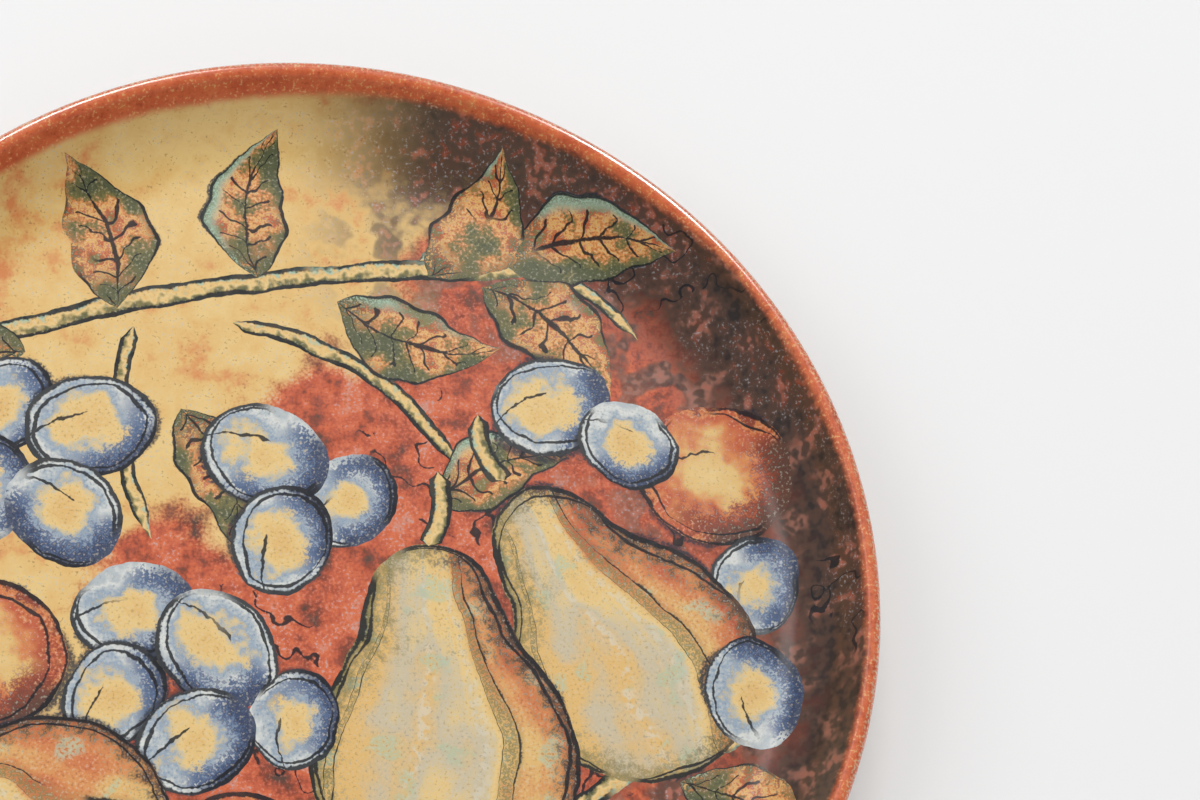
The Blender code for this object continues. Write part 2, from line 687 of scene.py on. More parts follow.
class Finish:
    """The look of one kind of mark, as a group from its own position to a colour.

    Its second output, Away, is the distance to its nearest pen line, counted
    in half widths of that line.
    """

    name: str

    def start(self) -> Stencil:
        """Start the finish's group."""
        return Stencil(self.name, {"Local": (0.0, 0.0, 0.0), **TEXTURES}, PAINTED)

    def draw(self) -> Stencil:
        """Draw up the finish's group."""
        raise NotImplementedError

    @staticmethod
    def speckled(group: Stencil, base: Feed, **amounts: float) -> Socket:
        """A value with parts of the four textures added, each about its middle.

        Args:
            group: The finish's group.
            base: The value.
            **amounts: How much of each texture, by its name.

        Returns:
            The sum's socket.
        """
        result = group.number("SUBTRACT", base, sum(amounts.values()) / 2)
        for name, amount in amounts.items():
            result = group.number("MULTIPLY_ADD", group[name], amount, result)
        return result

    @staticmethod
    def patch(group: Stencil, colour: Socket, shade: Colour, *steps: tuple) -> Socket:
        """Coat a colour where all of some steps are up.

        Args:
            group: The finish's group.
            colour: The colour below.
            shade: The colour laid on.
            *steps: What is measured, where its step begins and ends, and the strength.

        Returns:
            The coated colour's socket.
        """
        cover = None
        for value, low, high, *strength in steps:
            step = group.span(value, low, high, 0.0, *(strength or (1.0,)))
            cover = step if cover is None else group.number("MULTIPLY", cover, step)
        return group.coat(cover, colour, shade)

    @staticmethod
    def lines(group: Stencil, *lines: tuple[Socket, float, float]) -> Socket:
        """Distance to the nearest of some lines, each a value, where it lies and its half width."""
        nearest = None
        for value, place, half in lines:
            away = group.number("ABSOLUTE", group.number("MULTIPLY_ADD", value, 1 / half, -place / half))
            nearest = away if nearest is None else group.number("MINIMUM", nearest, away)
        return nearest


@dataclass(frozen=True)
class RoundFinish(Finish):
    """A round fruit: a warm heart, a cool or warm skin, a dark side and a pen outline."""

    name: str
    motif: Motif
    skin: tuple[tuple[float, Colour], ...]
    crescent: Colour
    shadow: Colour
    pen: float
    light: tuple[float, float, float] = (-0.5, 0.62, 0.0)

    def draw(self) -> Stencil:
        """Draw up the fruit's group."""
        group = self.start()
        away = group.vector("DISTANCE", group["Local"], (0.0, 0.0, float(self.motif.value)))
        lit = self.speckled(group, group.vector("DOT_PRODUCT", group["Local"], self.light), Wash=1.9)
        depth = group.number("MULTIPLY_ADD", lit, -0.22, away)
        depth = self.speckled(group, depth, Grain=0.26, Fleck=0.3, Blot=0.9)
        colour = group.ramp(depth, self.skin)
        rough = self.speckled(group, away, Grain=0.7, Fleck=0.3)
        inside = (rough, 0.46, 0.66), (rough, 0.94, 0.8)
        colour = self.patch(group, colour, self.crescent, *inside, (lit, 0.12, -0.26))
        colour = self.patch(group, colour, self.shadow, (rough, 0.62, 0.84, 0.9), (lit, -0.16, -0.52))
        wander = self.speckled(group, away, Wash=0.4, Blot=0.12)
        lines = self.lines(group, (away, 0.98, self.pen), (wander, 0.86, self.pen * 0.5))
        return group.give(Colour=colour, Away=group.number("MINIMUM", lines, self.groove(group)))

    def groove(self, group: Stencil) -> Socket:
        """Distance to the groove that runs along the fruit from its stalk."""
        along, across = group.split(group["Local"])
        bowed = group.number("MULTIPLY_ADD", group.number("MULTIPLY", along, along), 0.3, across)
        groove = self.lines(group, (self.speckled(group, bowed, Fleck=0.1), 0.3, self.pen * 0.5))
        return group.number("ADD", groove, group.span(along, -0.1, 0.3, 0.0, 9.0))


PLUM_SKIN = RoundFinish(
    "plum skin",
    Motif.PLUM,
    (
        (0.0, PAINTS.ochre),
        (0.36, PAINTS.straw),
        (0.48, PAINTS.sand),
        (0.58, PAINTS.pale_blue),
        (0.72, PAINTS.mist),
        (0.86, PAINTS.pearl),
        (1.0, PAINTS.mist),
    ),
    PAINTS.blue,
    PAINTS.navy,
    0.036,
)

QUINCE_SKIN = RoundFinish(
    "quince skin",
    Motif.QUINCE,
    (
        (0.0, PAINTS.straw),
        (0.36, PAINTS.ochre),
        (0.56, PAINTS.orange),
        (0.78, PAINTS.terracotta),
        (0.95, PAINTS.orange),
        (1.0, PAINTS.brick),
    ),
    PAINTS.brick,
    PAINTS.smoke,
    0.02,
)


class PearFinish(Finish):
    """A pear: ochre with pale and olive streaks, a blush and a doubled outline."""

    name = "pear skin"
    SKIN = (
        (0.0, PAINTS.brick),
        (0.1, PAINTS.terracotta),
        (0.22, PAINTS.orange),
        (0.34, PAINTS.ochre),
        (0.5, PAINTS.straw),
        (0.6, PAINTS.sand),
        (0.7, PAINTS.ochre),
        (0.84, PAINTS.ochre),
        (0.96, PAINTS.olive),
    )

    def draw(self) -> Stencil:
        """Draw up the pear's group."""
        group = self.start()
        along, across = group.split(group["Local"])
        away = pear_away(group, group["Local"])
        share = group.number("DIVIDE", across, group.span(along, -0.1, 1.5, 1.0, 0.4))
        drift = group.number("MULTIPLY_ADD", group["Wash"], 1.6, group.number("MULTIPLY", along, 0.4))
        streak = group.streaks(group.number("MULTIPLY_ADD", share, 3.2, drift), 2.0)
        place = group.number("MULTIPLY_ADD", streak, 0.5, group.number("MULTIPLY_ADD", share, 0.4, 0.25))
        colour = group.ramp(self.speckled(group, place, Wash=0.5, Blot=0.24, Grain=0.1), self.SKIN)
        grain = group["Grain"]
        colour = self.patch(group, colour, PAINTS.cream, (streak, 0.56, 0.7, 0.7), (group["Fleck"], 0.44, 0.6))
        colour = self.patch(group, colour, PAINTS.olive, (streak, 0.44, 0.32, 0.8), (grain, 0.36, 0.54))
        colour = self.patch(group, colour, PAINTS.mint, (group["Blot"], 0.6, 0.7, 0.6), (grain, 0.36, 0.5))
        rough = self.speckled(group, away, Grain=0.5, Fleck=0.3)
        colour = self.patch(group, colour, PAINTS.olive, (rough, 0.76, 1.0, 0.8))
        colour = self.patch(group, colour, PAINTS.smoke, (rough, 0.84, 1.0), (share, 0.3, -0.6))
        doubled = self.speckled(group, away, Wash=0.3)
        lines = self.lines(group, (away, 0.985, 0.013), (doubled, 0.94, 0.007), (streak, 0.38, 0.006))
        return group.give(Colour=colour, Away=lines)


class LeafFinish(Finish):
    """A leaf: orange and olive halves, pale turned edges, veins and a wavy outline."""

    name = "leaf blade"
    BLADE = (
        (0.14, PAINTS.moss),
        (0.36, PAINTS.olive),
        (0.5, PAINTS.orange),
        (0.6, PAINTS.ochre),
        (0.72, PAINTS.terracotta),
        (0.86, PAINTS.olive),
    )

    def draw(self) -> Stencil:
        """Draw up the leaf's group."""
        group = self.start()
        along, share = group.split(group["Local"])
        side = group.number("ABSOLUTE", share)
        place = self.speckled(group, group.number("MULTIPLY_ADD", share, 0.2, 0.5), Blot=1.5, Grain=0.5)
        colour = group.ramp(place, self.BLADE)
        colour = self.patch(group, colour, PAINTS.mint, (share, 0.5, 0.86), (group["Wash"], 0.5, 0.56))
        colour = self.patch(group, colour, PAINTS.moss, (along, 0.34, 0.05), (group["Grain"], 0.36, 0.5))
        grained = (group["Grain"], 0.42, 0.56)
        colour = self.patch(group, colour, PAINTS.moss, (side, 0.6, 1.0, 0.85), grained)
        turn = group.number("MULTIPLY_ADD", side, -1.3, group.number("MULTIPLY", along, 8.0))
        vein = group.number("FRACT", self.speckled(group, turn, Blot=1.6))
        vein = group.number("MULTIPLY_ADD", group.span(side, 0.5, 0.9), 0.4, vein)
        veins = self.lines(group, (vein, 0.5, 0.05))
        veins = group.number("ADD", veins, group.span(side, 0.6, 0.8, 0.0, 9.0))
        lines = self.lines(group, (side, 0.97, 0.036), (share, 0.0, 0.03))
        return group.give(Colour=colour, Away=group.number("MINIMUM", veins, lines))


class TwigFinish(Finish):
    """A twig: straw and olive bark between two broken pen lines."""

    name = "twig bark"
    BARK = (
        (0.1, PAINTS.moss),
        (0.3, PAINTS.olive),
        (0.5, PAINTS.straw),
        (0.66, PAINTS.ochre),
        (0.84, PAINTS.mint),
        (1.0, PAINTS.moss),
    )

    def draw(self) -> Stencil:
        """Draw up the twig's group."""
        group = self.start()
        _, share = group.split(group["Local"])
        place = self.speckled(group, group.number("MULTIPLY_ADD", share, 0.4, 0.5), Fleck=0.8)
        return group.give(
            Colour=group.ramp(place, self.BARK),
            Away=self.lines(group, (group.number("ABSOLUTE", share), 0.86, 0.2)),
        )


class GroundFinish(Finish):
    """The washes behind the fruit: ochre, terracotta, smoke and loose pen squiggles."""

    name = "ground wash"
    OCHRE_WAY = (-0.78, 0.62, 0.0)
    SMOKE_WAY = (0.93, 0.36, 0.0)
    EMBER_WAY = (-0.35, -0.94, 0.0)
    OCHRE = ((0.3, PAINTS.orange), (0.44, PAINTS.ochre), (0.6, PAINTS.straw), (0.75, PAINTS.ochre))
    TERRACOTTA = (
        (0.22, PAINTS.smoke),
        (0.36, PAINTS.brick),
        (0.48, PAINTS.terracotta),
        (0.62, PAINTS.rim_orange),
        (0.78, PAINTS.rose),
    )
    SMOKE = ((0.26, PAINTS.charcoal), (0.44, PAINTS.umber), (0.6, PAINTS.smoke), (0.8, PAINTS.brick))

    def start(self) -> Stencil:
        """Start the ground's group, which reads the place and the track."""
        takes = {"Position": (0.0, 0.0, 0.0), "Track": 0.0, **TEXTURES}
        return Stencil(self.name, takes, PAINTED)

    def draw(self) -> Stencil:
        """Draw up the ground's group."""
        group = self.start()
        curves = group.noise(group["Position"], 15.0, 2.0, 9).outputs["Fac"]
        kept = group.noise(group["Position"], 34.0, 0.0, 10).outputs["Fac"]
        ochre = self.speckled(group, 0.5, Blot=0.5, Wash=0.4, Grain=0.12, Fleck=0.14)
        ochre = group.ramp(ochre, self.OCHRE)
        terracotta = self.speckled(group, 0.5, Blot=0.8, Fleck=0.34, Grain=0.26)
        terracotta = group.ramp(terracotta, self.TERRACOTTA)
        grain = group["Grain"]
        pale = (grain, 0.56, 0.7, 0.36)
        terracotta = self.patch(group, terracotta, PAINTS.rose, pale, (group["Wash"], 0.4, 0.56))
        reach = group.vector("DOT_PRODUCT", group["Position"], self.OCHRE_WAY)
        reach = self.speckled(group, reach, Wash=68.0, Blot=22.0, Grain=10.0)
        colour = group.coat(group.span(reach, 22.0, 36.0), terracotta, ochre)
        colour = self.patch(group, colour, PAINTS.mist, (grain, 0.58, 0.72, 0.4), (group["Blot"], 0.5, 0.6))
        colour = self.patch(group, colour, PAINTS.smoke, (grain, 0.4, 0.28, 0.4), (group["Fleck"], 0.5, 0.62))
        colour = self.smoke(group, colour)
        lines = self.lines(group, (curves, 0.5, 0.008))
        kept = group.span(kept, 0.6, 0.57, 0.0, 9.0)
        kept = group.number("ADD", kept, group.span(reach, 6.0, 20.0, 0.0, 9.0))
        return group.give(Colour=colour, Away=group.number("ADD", lines, kept))

    def smoke(self, group: Stencil, colour: Socket) -> Socket:
        """A smoky halo on the wall, clouds beside it and clusters of cool specks."""
        way = group.vector("NORMALIZE", group["Position"])
        side = group.span(group.vector("DOT_PRODUCT", way, self.SMOKE_WAY), 0.25, 0.6)
        low = group.span(group.vector("DOT_PRODUCT", way, self.EMBER_WAY), 0.35, 0.8, 0.0, 0.8)
        ring = self.speckled(group, group["Track"], Wash=26.0, Blot=38.0, Fleck=12.0, Grain=6.0)
        halo = group.span(ring, 86.0, 108.0, 0.0, 0.98)
        cloud = group.span(group["Blot"], 0.46, 0.58)
        cloud = group.number("MULTIPLY", group.span(ring, 56.0, 96.0, 0.0, 0.9), cloud)
        smoked = group.number("MAXIMUM", halo, cloud)
        cover = group.number("MULTIPLY", smoked, group.number("MAXIMUM", side, low))
        dark = group.ramp(self.speckled(group, 0.5, Fleck=0.6, Blot=0.6, Wash=0.4), self.SMOKE)
        fleck = group["Fleck"]
        dark = self.patch(group, dark, PAINTS.rose, (group["Blot"], 0.5, 0.68, 0.34), (fleck, 0.4, 0.62))
        cool = (group["Grain"], 0.54, 0.78, 0.6), (fleck, 0.42, 0.6)
        dark = self.patch(group, dark, PAINTS.mist, *cool, (group["Wash"], 0.4, 0.56))
        return group.coat(cover, colour, dark)


class RimFinish(Finish):
    """The red band over the lip, wider at the top left and thinner on the right."""

    name = "rim band"
    START = 125.0
    FADE = 1.4
    LIP_TOP = (129.8, 131.2)
    WIDER = 2.4
    WIDER_WAY = (-0.34, 0.94, 0.0)
    THINNER = 3.2
    THINNER_WAY = (0.97, 0.24, 0.0)
    BAND = ((0.26, PAINTS.brick), (0.42, PAINTS.rim_red), (0.58, PAINTS.rim_orange), (0.8, PAINTS.orange))

    def start(self) -> Stencil:
        """Start the rim's group, which lies over the colour below."""
        takes = {"Below": PAINTS.ochre, "Position": (0.0, 0.0, 0.0), "Track": 0.0, **TEXTURES}
        return Stencil(self.name, takes, {"Colour": "colour"})

    def draw(self) -> Stencil:
        """Draw up the rim's group."""
        group = self.start()
        way = group.vector("NORMALIZE", group["Position"])
        wider = group.span(group.vector("DOT_PRODUCT", way, self.WIDER_WAY), 0.82, 0.98, 0.0, self.WIDER)
        thinner = group.vector("DOT_PRODUCT", way, self.THINNER_WAY)
        thinner = group.span(thinner, 0.3, 1.0, 0.0, self.THINNER)
        track = group.number("SUBTRACT", group.number("ADD", group["Track"], wider), thinner)
        track = self.speckled(group, track, Wash=3.0, Fleck=1.2, Grain=0.8)
        cover = group.span(track, self.START - self.FADE, self.START + self.FADE)
        colour = group.ramp(self.speckled(group, 0.54, Blot=0.4, Fleck=0.26, Grain=0.16), self.BAND)
        grain, fleck = group["Grain"], group["Fleck"]
        lip = (group["Track"], *self.LIP_TOP, 0.75)
        colour = self.patch(group, colour, PAINTS.straw, (grain, 0.54, 0.7, 0.5), (fleck, 0.44, 0.56))
        colour = self.patch(group, colour, PAINTS.brick, (grain, 0.42, 0.3, 0.4), (fleck, 0.5, 0.4))
        colour = self.patch(group, colour, PAINTS.sand, lip, (grain, 0.48, 0.62))
        return group.give(Colour=group.coat(cover, group["Below"], colour))


class BackFinish(Finish):
    """The plain back: slip under the glaze, and bare clay where the foot stands."""

    name = "glazed back"
    EDGE = 140.0
    SLIP = ((0.3, PAINTS.sand), (0.5, PAINTS.slip), (0.7, PAINTS.cream))
    FOOT_EDGE = 0.0007

    def start(self) -> Stencil:
        """Start the back's group, which lies over the colour of the front."""
        takes = {"Below": PAINTS.ochre, "Place": (0.0, 0.0, 0.0), "Track": 0.0}
        return Stencil(self.name, takes, {"Colour": "colour", "Clay": float})

    def draw(self) -> Stencil:
        """Draw up the back's group."""
        group = self.start()
        spots = group.noise(group["Place"], 0.0016, 3.0, 21, flat=False).outputs["Fac"]
        clouds = group.noise(group["Place"], 0.03, 2.0, 22, flat=False).outputs["Fac"]
        place = group.number("MULTIPLY_ADD", spots, 0.6, group.number("SUBTRACT", clouds, 0.3))
        slip = group.ramp(place, self.SLIP)
        slip = self.patch(group, slip, PAINTS.clay, (spots, 0.66, 0.72, 0.5))
        track = group.number("MULTIPLY_ADD", clouds, 7.0, group["Track"])
        track = group.number("MULTIPLY_ADD", spots, 4.0, track)
        colour = group.coat(group.span(track, self.EDGE + 5.0, self.EDGE + 6.4), group["Below"], slip)
        under = group.span(group["Track"], self.EDGE + 5.0, self.EDGE + 6.0)
        height = group.number("MULTIPLY_ADD", spots, 0.0004, group.height(group["Place"]))
        foot = group.span(height, self.FOOT_EDGE, self.FOOT_EDGE + 0.0002, 1.0, 0.0)
        clay = group.number("MULTIPLY", under, foot)
        return group.give(Colour=group.coat(clay, colour, PAINTS.clay), Clay=clay)


@dataclass
class Painting:
    """The painted and glazed surface of the plate."""

    glaze: Glaze = Glaze()
    hand: Hand = field(default_factory=Hand)
    placing: Placing = field(default_factory=Placing)
    ground: Stencil = field(default_factory=lambda: GroundFinish().draw())
    rim: Stencil = field(default_factory=lambda: RimFinish().draw())
    back: Stencil = field(default_factory=lambda: BackFinish().draw())
    finishes: dict[Motif, Stencil] = field(init=False)

    NOISES = {
        "Grain": (0.72, 2.0, 11),
        "Fleck": (2.3, 1.0, 12),
        "Blot": (9.0, 2.0, 13),
        "Wash": (34.0, 1.0, 14),
    }
    GRAINS = ((PAINTS.cream, 0.57, 0.74, 0.34), (PAINTS.dusk, 0.4, 0.27, 0.26))

    def __post_init__(self) -> None:
        """Draw up the finish of each kind of mark."""
        kinds = {
            Motif.PLUM: PLUM_SKIN,
            Motif.QUINCE: QUINCE_SKIN,
            Motif.PEAR: PearFinish(),
            Motif.LEAF: LeafFinish(),
            Motif.TWIG: TwigFinish(),
        }
        self.finishes = {motif: finish.draw() for motif, finish in kinds.items()}

    def materials(self) -> list[bpy.types.Material]:
        """The surface of each slice of the face, and of the back last.

        A slice holds only the marks that reach it, which keeps its shader short.
        """
        marks = composition()
        slices = [Slice(index).kept(marks) for index in range(Slice.COUNT)]
        faces = [self.material(f"painted_slice_{index + 1}", kept) for index, kept in enumerate(slices)]
        return faces + [self.material("glazed_back", [])]

    def material(self, name: str, marks: list[Mark]) -> bpy.types.Material:
        """Build the material of one slice.

        Args:
            name: The material's name.
            marks: The marks that reach the slice, from the lowest up.

        Returns:
            The material.
        """
        material = bpy.data.materials.new(name)
        material.use_nodes = True
        sheet = Sheet(material.node_tree)
        shader = material.node_tree.nodes["Principled BSDF"]
        where = sheet.add("ShaderNodeAttribute", attribute_name="paint").outputs["Vector"]
        track = sheet.add("ShaderNodeAttribute", attribute_name="track").outputs["Fac"]
        place = sheet.add("ShaderNodeTexCoord").outputs["Object"]
        front = self.front(sheet, where, track, marks)
        back = sheet.use(self.back, Below=front, Place=place, Track=track)
        sheet.feed(shader.inputs["Base Color"], back.outputs["Colour"])
        clay = back.outputs["Clay"]
        grain = sheet.noise(place, 0.0024, 1.0, 31, flat=False).outputs["Fac"]
        glazed = sheet.span(grain, 0.3, 0.7, self.glaze.roughness, self.glaze.rough_grain)
        roughness = sheet.mix("FLOAT", clay, glazed, self.glaze.clay_roughness)
        sheet.feed(shader.inputs["Roughness"], roughness)
        sheet.feed(shader.inputs["Coat Weight"], sheet.number("SUBTRACT", 1.0, clay))
        sheet.feed(shader.inputs["Coat Roughness"], self.glaze.coat_roughness)
        sheet.feed(shader.inputs["Coat IOR"], self.glaze.coat_ior)
        sheet.feed(shader.inputs["Specular IOR Level"], self.glaze.under_gloss)
        return material

    def front(self, sheet: Sheet, where: Socket, track: Socket, marks: list[Mark]) -> Socket:
        """Colour of the painted face and the rim band.

        Args:
            sheet: The material's tree.
            where: The place on the developed face, in millimetres.
            track: The length along the section, in millimetres.
            marks: The marks that reach this slice.

        Returns:
            The colour's socket.
        """
        textures = {name: sheet.noise(where, *noise).outputs["Fac"] for name, noise in self.NOISES.items()}
        drawn = sheet.use(self.hand.waver, Position=where, Sway=0.5, Shake=0.13).outputs["Position"]
        carried: dict[str, Feed] = dict(Placing.CARRIED)
        for mark in marks:
            carried = mark.lay(sheet, self.placing, drawn, carried)
        colour, away = sheet.use(self.ground, Position=where, Track=track, **textures).outputs
        if marks:
            colour, away = self.marked(sheet, colour, away, carried["Local"], marks, textures)
            colour = self.shaded(sheet, colour, carried["Gap"], textures)
        pen = sheet.use(
            self.hand.pen,
            Colour=colour,
            Away=away,
            Swell=textures["Blot"],
            Gap=textures["Wash"],
            Grain=textures["Grain"],
        )
        below = pen.outputs["Colour"]
        return sheet.use(self.rim, Below=below, Position=where, Track=track, **textures).outputs["Colour"]

    def marked(
        self,
        sheet: Sheet,
        colour: Socket,
        away: Socket,
        local: Socket,
        marks: list[Mark],
        textures: dict[str, Socket],
    ) -> tuple[Socket, Socket]:
        """Colour and pen distance where marks cover the ground.

        Args:
            sheet: The material's tree.
            colour: The ground's colour.
            away: The ground's pen distance.
            local: Where the place lies on its mark.
            marks: The marks that reach this slice.
            textures: The four shared noises.

        Returns:
            The colour's and the distance's sockets.
        """
        kind = sheet.height(local)
        painted, line = None, None
        for motif in sorted({mark.motif for mark in marks}, key=lambda motif: motif.value):
            look = sheet.use(self.finishes[motif], Local=local, **textures).outputs
            if painted is None:
                painted, line = look
                continue
            chosen = sheet.number("COMPARE", kind, float(motif.value), 0.4)
            painted = sheet.coat(chosen, painted, look["Colour"])
            line = sheet.mix("FLOAT", chosen, line, look["Away"])
        painted = self.grained(sheet, painted, textures)
        covered = sheet.number("GREATER_THAN", kind, 0.5)
        return sheet.coat(covered, colour, painted), sheet.mix("FLOAT", covered, away, line)

    def shaded(self, sheet: Sheet, colour: Socket, gap: Socket, textures: dict[str, Socket]) -> Socket:
        """Lay a granular dark edge on what lies beside a mark, wider in some places than in others."""
        near = sheet.span(sheet.number("MULTIPLY_ADD", textures["Wash"], -0.7, gap), 0.57, 0.71, 1.0, 0.0)
        worn = sheet.number("MULTIPLY_ADD", textures["Grain"], 1.6, near)
        return sheet.coat(sheet.span(worn, 1.1, 1.9, 0.0, 0.9), colour, PAINTS.dusk)

    def grained(self, sheet: Sheet, colour: Socket, textures: dict[str, Socket]) -> Socket:
        """Scatter pale and dark crayon grains over the marks."""
        for tint, low, high, strength in self.GRAINS:
            colour = sheet.use(
                self.hand.grain,
                Colour=colour,
                Grain_Colour=tint,
                Grain=textures["Grain"],
                Low=low,
                High=high,
                Strength=strength,
            ).outputs["Colour"]
        return colour


@dataclass(frozen=True)
class Slice:
    """One slice of the face, seen from the middle."""

    index: int

    COUNT = 8
    SPARE = 5.0

    def kept(self, marks: list[Mark]) -> list[Mark]:
        """The marks that reach this slice, in their order."""
        return [mark for mark in marks if self.reached_by(mark)]

    def reached_by(self, mark: Mark) -> bool:
        """Whether a mark, with its shade and the hand's waver, reaches this slice."""
        half = math.pi / self.COUNT
        middle = (2 * self.index + 1) * half
        x, y, reach = mark.span()
        far = math.hypot(x, y)
        turn = abs((math.atan2(y, x) - middle + math.pi) % math.tau - math.pi) - half
        clear = 0.0 if turn <= 0 else far * math.sin(min(turn, math.pi / 2))
        return clear <= reach + self.SPARE


@dataclass
class PlateSection:
    """Half section of the plate, from the top centre round to the bottom centre."""

    rim_radius: float
    rim_height: float
    lip_thickness: float = 0.0044
    rim_slope: float = math.radians(62.0)
    wall_run: float = 0.024
    floor_thickness: float = 0.0052
    well_dish: float = 0.0008
    foot_radius: float = 0.072
    foot_width: float = 0.0046
    foot_height: float = 0.0034
    foot_edge: float = 0.0008
    foot_draft: float = 0.0011
    foot_root: float = 0.0012
    recess_step: float = 0.0006
    well_rings: int = 34
    wall_rings: int = 26
    lip_rings: int = 14
    corner_rings: int = 5

    @property
    def well_radius(self) -> float:
        """Where the well meets the wall."""
        return self.rim_radius - self.wall_run

    def well_height(self, radius: float) -> float:
        """Height of the upper face in the well."""
        floor = self.foot_height + self.floor_thickness
        return floor + self.well_dish * (radius / self.well_radius) ** 2

    def wall(self) -> list[tuple[float, float, float]]:
        """Upper face of the wall, as radius, height and slope."""
        lip = self.lip_thickness / 2
        start = Vector((self.well_radius, self.well_height(self.well_radius)))
        slope = math.atan(2 * self.well_dish / self.well_radius)
        lip_centre = Vector((self.rim_radius - lip, self.rim_height - lip))
        end = lip_centre + lip * Vector((-math.sin(self.rim_slope), math.cos(self.rim_slope)))
        gap = end - start
        across = gap.x * math.sin(self.rim_slope) - gap.y * math.cos(self.rim_slope)
        along = across / math.sin(self.rim_slope - slope)
        corner = start + along * Vector((math.cos(slope), math.sin(slope)))
        points = []
        for step in range(self.wall_rings + 1):
            share = step / self.wall_rings
            place = (1 - share) ** 2 * start + 2 * share * (1 - share) * corner + share**2 * end
            way = (1 - share) * (corner - start) + share * (end - corner)
            points.append((place.x, place.y, math.atan2(way.y, way.x)))
        return points

    def lip(self) -> list[Point2]:
        """Half-round lip from the wall's upper face to its outer face."""
        lip = self.lip_thickness / 2
        first = self.rim_slope + math.pi / 2
        angles = [first - math.pi * step / self.lip_rings for step in range(1, self.lip_rings)]
        centre = (self.rim_radius - lip, self.rim_height - lip)
        return [(centre[0] + lip * math.cos(angle), centre[1] + lip * math.sin(angle)) for angle in angles]

    def back(self, wall: list[tuple[float, float, float]]) -> list[Point2]:
        """Underside of the wall, set off from its upper face."""
        points = []
        for index, (radius, height, slope) in enumerate(reversed(wall)):
            share = index / self.wall_rings
            thickness = self.lip_thickness + (self.floor_thickness - self.lip_thickness) * share
            points.append((radius + thickness * math.sin(slope), height - thickness * math.cos(slope)))
        return points

    def foot(self) -> list[Point2]:
        """Foot ring with eased corners, from its outer root to its inner root."""
        inner = self.foot_radius - self.foot_width
        ceiling = self.foot_height + self.recess_step
        corners = [
            Vector((self.foot_radius + self.foot_draft + 0.008, self.foot_height + 0.00025)),
            Vector((self.foot_radius + self.foot_draft, self.foot_height)),
            Vector((self.foot_radius, 0.0)),
            Vector((inner, 0.0)),
            Vector((inner - self.foot_draft, ceiling)),
            Vector((inner - self.foot_draft - 0.008, ceiling)),
        ]
        radii = (self.foot_root, self.foot_edge, self.foot_edge, self.foot_root)
        points = []
        for before, corner, after, radius in zip(corners, corners[1:], corners[2:], radii):
            points.extend(self.eased(before, corner, after, radius))
        return points

    def eased(self, before: Vector, corner: Vector, after: Vector, radius: float) -> list[Point2]:
        """Points of a corner rounded to a radius."""
        back = (before - corner).normalized()
        on = (after - corner).normalized()
        half = back.angle(on) / 2
        run = radius / math.tan(half)
        start, end = corner + back * run, corner + on * run
        points = []
        for step in range(self.corner_rings + 1):
            share = step / self.corner_rings
            place = (1 - share) ** 2 * start + 2 * share * (1 - share) * corner + share**2 * end
            points.append((place.x, place.y))
        return points

    def points(self) -> np.ndarray:
        """All points of the section, radius and height."""
        well = []
        for step in range(self.well_rings):
            radius = self.well_radius * step / self.well_rings
            well.append((radius, self.well_height(radius)))
        wall = self.wall()
        back = self.back(wall)
        foot = self.foot()
        recess = [(foot[-1][0] * (1 - step / 10), foot[-1][1]) for step in range(1, 11)]
        return np.array(well + [point[:2] for point in wall] + self.lip() + back + foot + recess)

    def tracks(self) -> np.ndarray:
        """Length along the section at each point, in millimetres."""
        steps = np.linalg.norm(np.diff(self.points(), axis=0), axis=1)
        return MM * np.concatenate(([0.0], np.cumsum(steps)))

    def lip_end(self) -> int:
        """Index of the first point below the lip, on the outer wall."""
        return self.well_rings + self.wall_rings + 1 + self.lip_rings


